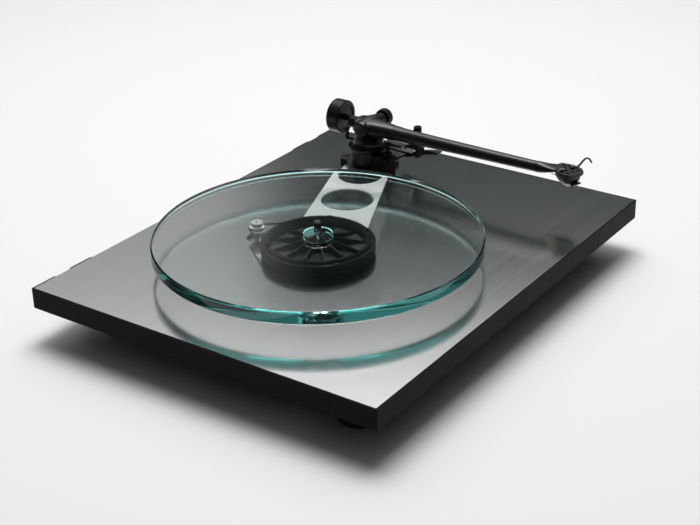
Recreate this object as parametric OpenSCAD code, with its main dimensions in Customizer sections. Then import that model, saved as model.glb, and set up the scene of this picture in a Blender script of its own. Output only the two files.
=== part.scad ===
// Belt-drive turntable: a thin metal-topped plinth, a glass platter on a ribbed
// subplatter, and a one-piece tonearm. Origin on the floor under the plinth's centre,
// X to the right and Y to the rear as seen from the front, Z up. Millimetres.

/* [Plinth] */
// Width of the plinth
plinth_w = 447; // [430:1:470]
// Depth of the plinth
plinth_d = 356; // [350:1:380]
// Thickness of the plinth, skins included
plinth_t = 19; // [18:0.5:22]
// Height of the plinth's underside above the floor
foot_h = 32; // [28:1:40]
// Width of the black frame around the plate
frame_wall = 2; // [1.5:0.25:3]
// Width of each lid hinge slot in the rear edge
hinge_slot_w = 18.5; // [14:0.5:22]

/* [Platter] */
// Distance of the platter's axis left of the plinth's centre
hub_left = 49; // [45:1:55]
// Diameter of the glass platter
platter_dia = 292; // [280:1:298]
// Thickness of the glass platter
platter_t = 12; // [10:0.5:14]
// Height of the platter's underside above the plate
platter_lift = 16; // [15.5:0.5:18]
// Diameter of the platter's centre hole
platter_hole = 25; // [22:0.5:27]
// Diameter of the record spindle
spindle_dia = 7.1; // [7:0.05:7.2]

/* [Drive] */
// Diameter of the subplatter where the belt runs
drive_dia = 97; // [90:1:100]
// Number of ribs on the subplatter
rib_count = 12; // [8:1:16]
// Diameter of the motor pulley where the belt runs
pulley_dia = 12.2; // [10:0.1:14]
// Thickness of the round belt
belt_dia = 1.8; // [1.5:0.1:2]

/* [Tonearm] */
// Distance of the arm's swing axis right of the plinth's centre
arm_right = 151; // [148:1:156]
// Distance of the arm's swing axis behind the plinth's centre
arm_back = 82; // [80:1:86]
// Height of the arm's tilt axis above the plate
tilt_h = 45.5; // [45:0.5:48]
// Length of the arm tube from its pivot to the headshell
tube_len = 195; // [185:1:200]
// Angle of the headshell to the tube
offset_angle = 24; // [20:0.5:26]
// Diameter of the counterweight
weight_dia = 33.6; // [30:0.2:36]
// Thickness of the counterweight
weight_t = 13; // [11:0.5:18]

/* [Hidden] */
$fn = 64;
eps = 0.01;
clear = 0.3;
plate_z = foot_h + plinth_t;
skin_t = 1;
plate_t = 1.5;
core_z = foot_h + skin_t;
core_t = plinth_t - skin_t - plate_t;
plate_gap = 1.3;
frame_drop = 0.4;
rear_notch_x = 177.2;
rear_recess_w = 302;
hub = [-hub_left, 0];
arm = [arm_right, arm_back];
motor = hub + [-2.6, 65.8];
arm_span = norm(arm - hub);
arm_bearing = atan2(arm[1] - hub[1], arm[0] - hub[0]);

brace_t = 0.8;
brace_hole = 50;
brace_outer_hole = 44;
brace_hole_at = 116.5;
brace_outer_at = 176;
bottom_brace_t = 3;

shaft_dia = 11.1;
bearing_bore = shaft_dia + 0.1;
bearing_dia = 22;
bearing_z = 18;
ball_dia = 6;
hub_boss_dia = platter_hole - 0.4;
hub_boss_up = 3.7;
pin_up = 11.5;

motor_can_dia = 52;
motor_can_z = 27;
motor_can_h = 20;
motor_shaft_dia = 3;
plate_motor_hole = 20;
belt_h = 9;

flange_t = 6;
post_dia = 34;
ring_dia = 40;
ring_h = 24;
ring_t = 2;
stem_dia = 24;
tube_h = 44;
tube_r_back = 7.5;
tube_r_front = 5.4;
yoke_r = 11;
yoke_half = 15.5;
slot_half = 7.5;
upright_half = 7;
cross_pin_dia = 4;
stub_dia = 10;
stub_up = 4;
weight_at = 27;
dial_dia = 17.5;
dial_t = 8;
bar_x = [2, 16];
bar_y = [-56, -20];
bar_z = [25.7, 34.6];
lift_at = [-8.8, -28.7];
lift_r = 30;
lift_top = 35.6;
lever_y = -31;
lever_z = 15;
headshell_at = [4.5, -219];
headshell_half = [12.5, 15];
headshell_z = [43.5, 46.5];
screw_half = 6.35;
stylus_ahead = 17;
stylus_z = 32.3;

feet_at = [[-172, -128], [172, -128], [0, 128]];
switch_at = [-204, -88];
board_at = [-125, 75];
inlet_at = [-95, 163];
gland_at = [151, 163];

inner_w = plinth_w - 2 * frame_wall;
inner_d = plinth_d - 2 * frame_wall;
belt_big = drive_dia / 2 + belt_dia / 2 + 0.05;
belt_small = pulley_dia / 2 + belt_dia / 2 + 0.05;
belt_span = norm(motor - hub);
belt_bearing = atan2(motor[1] - hub[1], motor[0] - hub[0]);
belt_lean = 90 - asin((belt_big - belt_small) / belt_span);
spindle_foot = bearing_z + 3 + ball_dia + 0.05 - plate_z;
spindle_top = platter_lift + platter_t + pin_up;
hub_top = platter_lift + hub_boss_up;
web_h = 6.5;
web_t = 2;
rim_in = drive_dia / 2 - 6.5;
rim_out = drive_dia / 2 - 1;
pad_t = 0.7;
rim_top = platter_lift - pad_t;
bevel = 1.2;
post_z = brace_t + flange_t;
clip_r = tube_r_back + 0.9;
hole_rows = [[-9, 2], [-3.5, 3], [2, 4], [7.5, 3]];
cart_top = headshell_z[0];
pin_xz = [for (sx = [-1, 1], sz = [0, 1]) [sx * 2.6, cart_top - 4.6 - 2.6 * sz]];

// ---------------------------------------------------------------- helpers

// A block given by its lowest corner and its highest corner
module block(low, high) {
    translate(low) cube(high - low);
}

// A block with round vertical edges, centred on x and y
module rounded_block(size, r) {
    linear_extrude(size[2]) rounded_rect(size[0], size[1], r);
}

module rounded_rect(w, d, r) {
    union() {
        square([w - 2 * r, d], center = true);
        square([w, d - 2 * r], center = true);
        for (sx = [-1, 1], sy = [-1, 1])
            translate([sx * (w / 2 - r), sy * (d / 2 - r)]) circle(r);
    }
}

// A cylinder along X between two x values
module x_rod(x0, x1, r) {
    translate([x0, 0, 0]) rotate([0, 90, 0]) cylinder(h = x1 - x0, r = r);
}

// A cylinder along Y between two y values
module y_rod(y0, y1, r) {
    translate([0, y1, 0]) rotate([90, 0, 0]) cylinder(h = y1 - y0, r = r);
}

// Places its children at the platter's axis, at plate height
module at_hub() {
    translate([hub[0], hub[1], plate_z]) children();
}

// Places its children at the motor's axis, at plate height
module at_motor() {
    translate([motor[0], motor[1], plate_z]) children();
}

// Places its children at the arm's swing axis, at plate height
module at_arm() {
    translate([arm[0], arm[1], plate_z]) children();
}

// Places its children in the headshell's frame: +Y forwards, +X to the outside, z = 0 at the plate
module at_headshell() {
    at_arm() translate([headshell_at[0], headshell_at[1], 0])
        rotate([0, 0, 180 - offset_angle]) mirror([1, 0, 0]) children();
}

function unit(v) = v / norm(v);
function tangent(pts, i) = unit(pts[min(i + 1, len(pts) - 1)] - pts[max(i - 1, 0)]);
function side_of(t) = unit(cross(t, abs(t[2]) > 0.9 ? [1, 0, 0] : [0, 0, 1]));

// A round wire swept along a list of points, as one closed polyhedron
module wire(pts, r, sides = 8) {
    rings = [for (i = [0:len(pts) - 1], k = [0:sides - 1])
        let (t = tangent(pts, i), a = side_of(t), b = cross(t, a), w = 360 * k / sides)
        pts[i] + r * (cos(w) * a + sin(w) * b)];
    last = (len(pts) - 1) * sides;
    walls = [for (i = [0:len(pts) - 2], k = [0:sides - 1])
        let (n = (k + 1) % sides, p = i * sides)
        [p + k, p + n, p + sides + n, p + sides + k]];
    caps = [[for (k = [sides - 1:-1:0]) k], [for (k = [0:sides - 1]) last + k]];
    polyhedron(points = rings, faces = concat(walls, caps), convexity = 4);
}

// Points of a curve that starts at a, is drawn towards b and ends at c
function bent(a, b, c, steps = 10) =
    [for (i = [0:steps]) let (t = i / steps) (1 - t) * (1 - t) * a + 2 * t * (1 - t) * b + t * t * c];

// ---------------------------------------------------------------- plinth

module edge_frame() color("#141516") difference() {
    translate([0, 0, foot_h]) rounded_block([plinth_w, plinth_d, plinth_t - frame_drop], 1);
    translate([0, 0, foot_h - eps])
        linear_extrude(plinth_t + 1)
            square([plinth_w - 2 * frame_wall, plinth_d - 2 * frame_wall], center = true);
    for (sx = [-1, 1])
        translate([sx * (rear_notch_x + hinge_slot_w / 2) - hinge_slot_w / 2,
            plinth_d / 2 - frame_wall - eps, foot_h + 4])
            cube([hinge_slot_w, frame_wall + 1, plinth_t]);
    translate([-rear_recess_w / 2, plinth_d / 2 - frame_wall - eps, foot_h + 4])
        cube([rear_recess_w, frame_wall + 1, plinth_t]);
}

module plinth_core() color("#3a3632") difference() {
    translate([-inner_w / 2, -inner_d / 2, core_z]) cube([inner_w, inner_d, core_t]);
    translate([hub[0], hub[1], foot_h]) cylinder(h = plinth_t, d = bearing_dia + 0.6);
    translate([motor[0], motor[1], foot_h]) cylinder(h = plinth_t, d = plate_motor_hole);
    translate([motor[0], motor[1], core_z - eps])
        cylinder(h = motor_can_z + motor_can_h - core_z + 0.5, d = motor_can_dia + 2);
    translate([arm[0], arm[1], foot_h]) cylinder(h = plinth_t, d = stem_dia + 0.6);
    translate([board_at[0], board_at[1], core_z - eps]) rounded_block([74, 46, 11], 3);
    translate([switch_at[0], switch_at[1], core_z - eps]) rounded_block([24, 18, 12], 2);
    block([board_at[0] + 30, board_at[1] - 4, core_z - eps], [motor[0] - 20, board_at[1] + 4, core_z + 6]);
}

module bottom_skin() color("#1b1b1c") difference() {
    translate([-inner_w / 2, -inner_d / 2, foot_h]) cube([inner_w, inner_d, skin_t]);
    translate([hub[0], hub[1], foot_h - 1]) cylinder(h = 3, d = bearing_dia + 0.6);
    translate([motor[0], motor[1], foot_h - 1]) cylinder(h = 3, d = motor_can_dia + 2);
    translate([arm[0], arm[1], foot_h - 1]) cylinder(h = 3, d = stem_dia + 0.6);
    translate([switch_at[0], switch_at[1], foot_h - 1]) rounded_block([24, 18, 3], 2);
}

module top_plate() color("#aeb0b1") difference() {
    translate([0, (plate_gap - frame_wall - 0.2) / 2, plate_z - plate_t])
        rounded_block([plinth_w - 2 * plate_gap, plinth_d - plate_gap - frame_wall - 0.2, plate_t], 0.6);
    // the frame's own top edge stands in this rebate
    difference() {
        translate([0, 0, plate_z - plate_t - eps])
            linear_extrude(plate_t - frame_drop + 0.05) square([plinth_w + 2, plinth_d + 2], center = true);
        translate([0, 0, plate_z - plate_t - 2 * eps])
            linear_extrude(plate_t) square([inner_w - 0.2, inner_d - 0.2], center = true);
    }
    translate([hub[0], hub[1], plate_z - 3]) cylinder(h = 4, d = bearing_dia + 0.6);
    translate([motor[0], motor[1], plate_z - 3]) cylinder(h = 4, d = plate_motor_hole);
    translate([arm[0], arm[1], plate_z - 3]) cylinder(h = 4, d = stem_dia + 0.6);
    // two short bars engraved in the front right corner
    for (k = [0, 1])
        translate([196 + 5 * k, -150, plate_z - 0.3])
            rotate([0, 0, -32]) rounded_block([1.4, 15, 1], 0.6);
}

// ---------------------------------------------------------------- braces

module brace_outline(half_hub, half_arm, far) {
    hull() {
        circle(half_hub, $fn = 32);
        translate([far, 0]) circle(half_arm, $fn = 32);
    }
}

module top_brace() color("#d4d6d6")
    at_hub() rotate([0, 0, arm_bearing]) difference() {
        linear_extrude(brace_t) brace_outline(34, 26, arm_span);
        for (s = [[brace_hole_at, brace_hole], [brace_outer_at, brace_outer_hole]])
            translate([s[0], 0, -1]) cylinder(h = 3, d = s[1]);
        translate([0, 0, -1]) cylinder(h = 3, d = bearing_dia + 0.6);
        translate([arm_span, 0, -1]) cylinder(h = 3, d = stem_dia + 0.6);
    }

module bottom_brace() color("#2a2522")
    translate([hub[0], hub[1], foot_h - bottom_brace_t]) rotate([0, 0, arm_bearing]) difference() {
        linear_extrude(bottom_brace_t) brace_outline(26, 24, arm_span);
        for (s = [60, 108, 156]) translate([s, 0, -1]) cylinder(h = 6, d = 34);
        translate([0, 0, -1]) cylinder(h = 6, d = bearing_dia + 0.6);
        translate([arm_span, 0, -1]) cylinder(h = 6, d = stem_dia + 0.6);
    }

// ---------------------------------------------------------------- feet

module foot(i) color("#161616")
    translate([feet_at[i][0], feet_at[i][1], 0]) rotate_extrude() polygon([
        [3, 8], [17, 8], [20.5, 10], [22, 18], [18.5, 26], [18.5, foot_h],
        [2.2, foot_h], [2.2, 14], [6, 14], [6, 10], [3, 10]]);

module foot_pad(i) color("#0d0d0d")
    translate([feet_at[i][0], feet_at[i][1], 0]) rotate_extrude() polygon([
        [7, 0], [17.5, 0], [19.5, 2], [19.5, 8], [7, 8]]);

module foot_front_left() foot(0);
module foot_front_right() foot(1);
module foot_rear() foot(2);
module foot_pad_front_left() foot_pad(0);
module foot_pad_front_right() foot_pad(1);
module foot_pad_rear() foot_pad(2);

module foot_screws() color("#8d9092")
    for (p = feet_at) translate([p[0], p[1], 0]) difference() {
        union() {
            translate([0, 0, 10.4]) cylinder(h = 3.3, d = 9);
            translate([0, 0, 13]) cylinder(h = foot_h - 13, d = 4);
        }
        translate([0, 0, 10]) cylinder(h = 2, d = 4, $fn = 6);
    }

// ---------------------------------------------------------------- motor and drive

module motor_can() color("#9a9c9e")
    translate([motor[0], motor[1], 0]) difference() {
        union() {
            translate([0, 0, motor_can_z]) cylinder(h = motor_can_h, d = motor_can_dia);
            translate([0, 0, motor_can_z + motor_can_h - eps]) cylinder(h = 1.4, d = 10);
        }
        translate([0, 0, motor_can_z + 4]) cylinder(h = 30, d = motor_shaft_dia + 0.1);
    }

module motor_cover() color("#1d1d1f")
    translate([motor[0], motor[1], motor_can_z - 2]) difference() {
        cylinder(h = foot_h - motor_can_z + 2, d = 66);
        translate([0, 0, 1.8]) cylinder(h = 20, d = motor_can_dia + 1);
        for (a = [0:45:315]) rotate([0, 0, a]) translate([15, 0, -1]) cylinder(h = 5, d = 4);
    }

module motor_board() color("#1f5a3a")
    translate([board_at[0], board_at[1], core_z + 2]) union() {
        difference() {
            rounded_block([68, 40, 1.6], 2);
            for (sx = [-1, 1], sy = [-1, 1])
                translate([sx * 30, sy * 16, -1]) cylinder(h = 4, d = 3.2);
        }
        for (k = [-1, 1]) translate([k * 12, -8, 1.5]) cylinder(h = 7, d = 8);
        translate([-20, 8, 1.5]) cube([14, 8, 3.5]);
        translate([4, 6, 1.5]) cube([10, 7, 2.5]);
    }

module motor_shaft() color("#c9cbcc")
    at_motor() translate([0, 0, motor_can_z + 4.2 - plate_z])
        cylinder(h = plate_z - motor_can_z + 10, d = motor_shaft_dia);

// Outline of the stepped pulley: two crowned grooves between three flanges
module motor_pulley() color("#d9dbdc")
    at_motor() rotate_extrude() polygon([
        [motor_shaft_dia / 2, 2], [5, 2], [5, 6.2],
        [pulley_dia / 2 + 1, 6.6], [pulley_dia / 2 + 1, 7.2],
        [pulley_dia / 2, 8], [pulley_dia / 2, 10],
        [pulley_dia / 2 + 0.9, 10.8], [pulley_dia / 2 + 0.9, 11.4],
        [5, 12], [5, 13.6], [5.8, 14.2], [5.8, 14.8], [5.4, 15.2],
        [motor_shaft_dia / 2, 15.2]]);

// The belt: a closed band round both pulleys, its two straight runs tangent to them

module belt_outline(off) {
    big = belt_big + off;
    small = belt_small + off;
    circle(big);
    translate([belt_span, 0]) circle(small);
    polygon([
        big * [cos(belt_lean), sin(belt_lean)],
        big * [cos(belt_lean), -sin(belt_lean)],
        [belt_span, 0] + small * [cos(belt_lean), -sin(belt_lean)],
        [belt_span, 0] + small * [cos(belt_lean), sin(belt_lean)]]);
}

module drive_belt() color("#101010")
    at_hub() translate([0, 0, belt_h - belt_dia / 2]) rotate([0, 0, belt_bearing])
        linear_extrude(belt_dia) difference() {
            belt_outline(belt_dia / 2);
            belt_outline(-belt_dia / 2);
        }

// ---------------------------------------------------------------- bearing and platter

module bearing_housing() color("#c79a4b")
    translate([hub[0], hub[1], 0]) difference() {
        union() {
            translate([0, 0, bearing_z]) cylinder(h = plate_z - bearing_z + 3, d = bearing_dia);
            translate([0, 0, plate_z + brace_t]) cylinder(h = 2.2, d = 40);
        }
        translate([0, 0, bearing_z + 3]) cylinder(h = 60, d = bearing_bore);
    }

module bearing_nut() color("#b48a3f")
    translate([hub[0], hub[1], foot_h - bottom_brace_t - 5]) difference() {
        cylinder(h = 5, d = 34, $fn = 6);
        translate([0, 0, -1]) cylinder(h = 7, d = bearing_dia + 0.1);
    }

module bearing_ball() color("#e3e5e6")
    translate([hub[0], hub[1], bearing_z + 3 + ball_dia / 2]) sphere(d = ball_dia);

module spindle() color("#2b2d2f")
    at_hub() union() {
        translate([0, 0, spindle_foot]) cylinder(h = hub_top - spindle_foot, d = shaft_dia);
        translate([0, 0, hub_top - eps]) cylinder(h = 3, d1 = 13, d2 = spindle_dia);
        translate([0, 0, hub_top]) cylinder(h = spindle_top - hub_top - 1, d = spindle_dia);
        translate([0, 0, spindle_top - 1 - eps])
            cylinder(h = 1, d1 = spindle_dia, d2 = spindle_dia - 2);
    }

// Half section of the subplatter: hub, web, raised rim, belt groove and skirt
module subplatter() color("#17181a")
    at_hub() difference() {
        union() {
            rotate_extrude() polygon([
                [shaft_dia / 2, web_h], [rim_in, web_h], [rim_in + 0.8, rim_top - 2.4],
                [rim_in + 2, rim_top], [rim_out - 0.6, rim_top], [rim_out, rim_top - 0.6],
                [rim_out, rim_top - 2.4], [drive_dia / 2 + 2, rim_top - 3],
                [drive_dia / 2 + 2, rim_top - 4], [drive_dia / 2, rim_top - 5],
                [drive_dia / 2, 7.6], [drive_dia / 2 + 2, 6.8], [drive_dia / 2 + 2, 4],
                [drive_dia / 2 - 3, 4], [drive_dia / 2 - 3, web_h - web_t],
                [16, web_h - web_t], [16, 3.6], [shaft_dia / 2, 3.6]]);
            cylinder(h = platter_lift, d = 27);
            cylinder(h = hub_top, d = hub_boss_dia);
            for (k = [0:rib_count - 1]) rotate([0, 0, (k + 0.5) * 360 / rib_count]) rib();
        }
        translate([0, 0, -1]) cylinder(h = 40, d = shaft_dia);
        translate([0, 0, -1]) cylinder(h = 4.6, d = 44);
    }

// One rib, tall at the hub and running out at the rim
module rib() {
    translate([0, 0.9, 0]) rotate([90, 0, 0]) linear_extrude(1.8) polygon([
        [12, web_h - 0.5], [rim_in + 0.6, web_h - 0.5], [rim_in + 0.2, web_h + 1.4],
        [15, platter_lift - 1.2], [12, platter_lift - 1.2]]);
}

module platter_pads() color("#1c1c1d")
    at_hub() for (k = [0:5]) rotate([0, 0, 60 * k + 22])
        translate([(rim_in + rim_out) / 2 + 0.6, 0, rim_top]) cylinder(h = pad_t, d = 3.6);

module platter() color("#9fd0c4", 0.6)
    at_hub() translate([0, 0, platter_lift]) rotate_extrude($fn = 128) polygon([
        [platter_hole / 2 + 0.5, 0], [platter_dia / 2 - bevel, 0], [platter_dia / 2, bevel],
        [platter_dia / 2, platter_t - bevel], [platter_dia / 2 - bevel, platter_t],
        [platter_hole / 2 + 0.5, platter_t], [platter_hole / 2, platter_t - 0.5],
        [platter_hole / 2, 0.5]]);

// ---------------------------------------------------------------- power and sockets

module switch_housing() color("#1a1a1b")
    translate([switch_at[0], switch_at[1], foot_h]) union() {
        difference() {
            union() {
                translate([0, 0, -1.5]) rounded_block([28, 22, 1.5], 2);
                rounded_block([23, 17, 11], 1);
            }
            translate([-9.5, -6.5, -2]) cube([19, 13, 9.5]);
        }
        // hinge pin of the rocker
        translate([0, 0, 1.5]) y_rod(-8, 8, 0.75);
    }

module power_rocker() color("#e8e8e6")
    translate([switch_at[0], switch_at[1], foot_h + 1.5]) rotate([90, 0, 0]) difference() {
        translate([0, 0, -6.1]) linear_extrude(12.2) polygon([
            [-8.6, -1.2], [-8.6, -3.4], [0, -2.4], [8.6, -5], [8.6, -1.2], [3, 2.4], [-3, 2.4]]);
        translate([0, 0, -8]) cylinder(h = 16, d = 1.6);
    }

module power_inlet() color("#1a1a1b")
    translate([inlet_at[0], inlet_at[1], foot_h - 9]) difference() {
        translate([-8, -12, 0]) cube([16, 24, 9]);
        translate([0, 0, 4.5]) y_rod(-4, 13, 2.9);
    }

module cable_gland() color("#161617")
    translate([gland_at[0], gland_at[1], foot_h - 10]) difference() {
        union() {
            translate([-7, -6, 0]) cube([14, 12, 10]);
            translate([0, 0, 5]) y_rod(5, 14, 4.4);
        }
        translate([0, 0, 5]) y_rod(-10, 20, 2.6);
    }

// ---------------------------------------------------------------- tonearm base

module arm_flange() color("#18191a")
    at_arm() translate([0, 0, brace_t]) difference() {
        union() {
            cylinder(h = flange_t, d = 44);
            for (a = [90, 210, 330]) rotate([0, 0, a]) {
                translate([26, 0, 0]) cylinder(h = flange_t, d = 15);
                translate([10, -7.5, 0]) cube([16, 15, flange_t]);
            }
            translate([0, 0, foot_h - bottom_brace_t - 9 - plate_z])
                cylinder(h = plate_z - foot_h + bottom_brace_t + 9, d = stem_dia);
        }
        translate([0, 0, -60]) cylinder(h = 80, d = 7);
        for (a = [90, 210, 330]) rotate([0, 0, a]) translate([26, 0, 0]) {
            translate([0, 0, -1]) cylinder(h = 20, d = 4.2);
            translate([0, 0, flange_t - 3.4]) cylinder(h = 10, d = 7.6);
        }
    }

module flange_screws() color("#3b3d3f")
    at_arm() for (a = [90, 210, 330]) rotate([0, 0, a])
        translate([26, 0, brace_t]) difference() {
            union() {
                translate([0, 0, 0.05]) cylinder(h = flange_t - 3.4, d = 4.1);
                translate([0, 0, flange_t - 3.4 + 0.02]) cylinder(h = 3, d = 7.2);
            }
            translate([0, 0, flange_t - 2]) cylinder(h = 4, d = 3.4, $fn = 6);
        }

module arm_nut() color("#a9abad")
    at_arm() translate([0, 0, foot_h - bottom_brace_t - 6 - plate_z]) difference() {
        cylinder(h = 6, d = 36, $fn = 6);
        translate([0, 0, -1]) cylinder(h = 8, d = stem_dia + 0.1);
    }

module arm_post() color("#151617")
    at_arm() difference() {
        union() {
            translate([0, 0, post_z]) cylinder(h = ring_h - post_z, d = post_dia);
            translate([0, 0, ring_h - 3]) cylinder(h = 3, d1 = post_dia, d2 = post_dia + 4);
        }
        translate([0, 0, post_z - 1]) cylinder(h = 30, d = 14);
    }

// Plate on top of the post, with a tongue that carries the bias housing
module post_ring() color("#1b1c1d")
    at_arm() difference() {
        union() {
            translate([0, 0, ring_h]) cylinder(h = ring_t - 0.3, d = ring_dia);
            block([bar_x[0] + 1, bar_y[0] + 10.2, ring_h], [bar_x[1] - 1, -8, ring_h + ring_t - 0.3]);
        }
        translate([0, 0, 0]) cylinder(h = 40, d = 14);
    }

// ---------------------------------------------------------------- cue lift

module lift_housing() color("#161718")
    at_arm() difference() {
        union() {
            translate([-8.5, -24.5, post_z + clear]) rounded_block([17, 19, 13.4], 3);
            translate([-7, -28.6, brace_t]) rounded_block([12, 10, post_z], 2);
            translate([lift_at[0], lift_at[1], post_z + 15]) cylinder(h = 4, d = 9);
        }
        // clear of the post
        cylinder(h = 60, d = post_dia + 0.6);
        // guide bore for the platform's stem
        translate([lift_at[0], lift_at[1], post_z + 4]) cylinder(h = 40, d = 4.1);
        // bore for the lever's shaft
        translate([0, lever_y, lever_z]) x_rod(-5, 5, 2.05);
    }

// Curved rest that runs under the tube over the whole of its swing
module lift_platform() color("#1c1d1e")
    at_arm() union() {
        translate([0, 0, lift_top - 2.4]) rotate([0, 0, -152]) rotate_extrude(angle = 52, $fn = 128)
            translate([lift_r - 2.5, 0]) square([5, 2.4]);
        translate([lift_at[0], lift_at[1], post_z + 9]) cylinder(h = lift_top - post_z - 11, d = 4);
    }

// Lever beside the arm: shaft in the housing, crank, and a flat finger tab
module cue_lever() color("#26282a")
    at_arm() translate([0, lever_y, lever_z]) union() {
        x_rod(-4.5, 21, 2);
        hull() {
            x_rod(19, 22.5, 3.2, $fn = 32);
            translate([0, -28, 8]) x_rod(19, 22.5, 2, $fn = 32);
        }
        hull() {
            translate([0, -28, 8]) x_rod(19, 22.5, 2, $fn = 32);
            translate([0, -38, 9]) x_rod(18, 26, 1.4, $fn = 32);
        }
    }

// ---------------------------------------------------------------- bias and rest

module bias_housing() color("#55585a")
    at_arm() difference() {
        block([bar_x[0], bar_y[0] + 10, bar_z[0]], [bar_x[1], bar_y[1], bar_z[1]]);
        block([bar_x[0] + 2, bar_y[0] + 12, bar_z[0] - 1], [bar_x[1] - 2, bar_y[1] - 2, bar_z[1] - 2]);
        // slot for the slider in the side that faces the platter
        block([bar_x[0] - 1, bar_y[0] + 13, bar_z[0] + 3.2], [bar_x[0] + 3, bar_y[1] - 3, bar_z[0] + 5.4]);
    }

module bias_slider() color("#d8d8d6")
    at_arm() translate([bar_x[0], bar_y[0] + 15.5, bar_z[0] + 4.3]) union() {
        block([-2.2, -1.6, -1.6], [-0.3, 1.6, 1.6]);
        block([-0.5, -1, -0.8], [3.2, 1, 0.8]);
        block([2.3, -2.4, -2.4], [6, 2.4, 2.4]);
    }

module arm_rest() color("#121314")
    at_arm() union() {
        block([bar_x[0] - 0.5, bar_y[0], bar_z[0] - 2], [bar_x[1] + 0.5, bar_y[0] + 10, bar_z[1] + 0.3]);
        translate([9, bar_y[0] + 5, bar_z[0] - 5]) cylinder(h = 4, d = 7);
    }

// Open clip: a cradle under the parked tube and a wall on its outer side

module arm_clip() color("#1e1f20")
    at_arm() translate([0, bar_y[0] + 5, tube_h]) difference() {
        union() {
            y_rod(-4, 4, clip_r + 2.6);
            block([0, -4, 0], [clip_r + 2.6, 4, clip_r + 0.6]);
            translate([clip_r + 1.3, 0, clip_r + 0.6]) x_rod(-1.3, 1.3, 4);
        }
        y_rod(-5, 5, clip_r);
        block([-20, -5, -clip_r], [0.5, 5, 30]);
        block([0, -5, -clip_r / 2], [clip_r, 5, 30]);
        block([-20, -5, -20], [-3, 5, 5]);
        block([-20, -5, -20], [20, 5, bar_z[1] + 0.3 - tube_h]);
        translate([0, 0, clip_r + 1.2]) x_rod(0, 20, 1.4);
    }

// ---------------------------------------------------------------- arm bearings

module arm_carrier() color("#17181a")
    at_arm() difference() {
        union() {
            translate([0, 0, ring_h + ring_t]) cylinder(h = 5, d = 30);
            translate([-upright_half, -8, ring_h + ring_t + 4]) cube([2 * upright_half, 16, tilt_h + 6 - ring_h - ring_t - 4]);
            // spigot that turns in the post
            translate([0, 0, post_z + 2]) cylinder(h = ring_h + ring_t - post_z, d = 13.9);
        }
        translate([0, 0, tilt_h]) x_rod(-20, 20, cross_pin_dia / 2);
    }

module cross_pin() color("#b9bbbc")
    at_arm() translate([0, 0, tilt_h]) x_rod(-yoke_half - 1, yoke_half + 2, cross_pin_dia / 2 - 0.05);

module rear_bracket() color("#2a2c2e")
    at_arm() difference() {
        union() {
            block([-10.5, 6, ring_h + ring_t + 5], [-7.3, 20.4, ring_h + ring_t + 6.4]);
            block([-10.5, 18.4, ring_h + ring_t + 6], [-7.3, 20.4, 41]);
            translate([0, 19.4, 41]) x_rod(-10.5, -7.3, 2.6);
        }
        translate([0, 19.4, 41]) x_rod(-12, 12, 1.1);
        translate([0, 7, tilt_h - 1.5]) x_rod(-20, 20, yoke_r + 0.4);
    }

// ---------------------------------------------------------------- tilting arm

// One casting: yoke over the bearing, tapered tube, neck and perforated headshell
module arm_tube() color("#141516") difference() {
    union() {
        at_arm() hull() {
            for (s = [-1, 1]) translate([0, 7 * s, tilt_h])
                x_rod(-yoke_half, yoke_half, yoke_r, $fn = 32);
            translate([0, 0, tube_h]) y_rod(-31, -30, tube_r_back + 0.15, $fn = 32);
        }
        at_arm() translate([0, 0, tilt_h]) x_rod(yoke_half - 1, 24.6, 7.2);
        at_arm() translate([0, -29, tube_h]) rotate([90, 0, 0])
            cylinder(h = tube_len - 30, r1 = tube_r_back, r2 = tube_r_front);
        neck();
        at_headshell() translate([0, 0, headshell_z[0]])
            linear_extrude(headshell_z[1] - headshell_z[0]) headshell_outline();
    }
    at_arm() {
        // slot round the carrier's upright
        block([-slot_half, -12, 0], [slot_half, 12, tilt_h + 9]);
        translate([0, 0, tilt_h]) x_rod(-yoke_half - 5, yoke_half + 2.2, cross_pin_dia / 2);
    }
    at_headshell() headshell_holes();
}

// Flattening transition from the tube's end to the headshell plate
module neck() hull() {
    at_arm() translate([0, 0, tube_h]) y_rod(-tube_len, -tube_len + 2, tube_r_front + 0.15, $fn = 32);
    at_headshell() translate([0, -headshell_half[1] + 1, headshell_z[0] + 0.1])
        linear_extrude(headshell_z[1] - headshell_z[0] - 0.2) square([15.4, 3], center = true);
}

module headshell_outline() {
    hull() {
        translate([0, headshell_half[1] - 8]) circle(8, $fn = 32);
        for (s = [-1, 1]) translate([s * (headshell_half[0] - 5), 2]) circle(5, $fn = 32);
        translate([0, -headshell_half[1] + 4]) square([16, 8], center = true);
    }
}

module headshell_holes() {
    for (row = hole_rows, k = [0:row[1] - 1])
        translate([(k - (row[1] - 1) / 2) * 6, row[0], headshell_z[0] - 1])
            cylinder(h = 6, d = 3.4, $fn = 24);
    for (s = [-1, 1]) translate([s * screw_half, 0, headshell_z[0] - 1]) cylinder(h = 6, d = 2.7, $fn = 24);
}

module weight_stub() color("#1a1b1c")
    at_arm() translate([0, 0, tilt_h + stub_up]) difference() {
        y_rod(16.5, 45, stub_dia / 2);
        y_rod(42, 46, 2);
    }

module counterweight() color("#1b1c1d")
    at_arm() translate([0, weight_at, tilt_h + stub_up]) rotate([-90, 0, 0]) rotate_extrude() polygon([
        [stub_dia / 2 + 0.1, 0.8], [weight_dia / 2 - 5, 0.8], [weight_dia / 2 - 4, 0],
        [weight_dia / 2 - 0.8, 0], [weight_dia / 2, 0.8], [weight_dia / 2, weight_t - 0.8],
        [weight_dia / 2 - 0.8, weight_t], [stub_dia / 2 + 0.1, weight_t]]);

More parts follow.
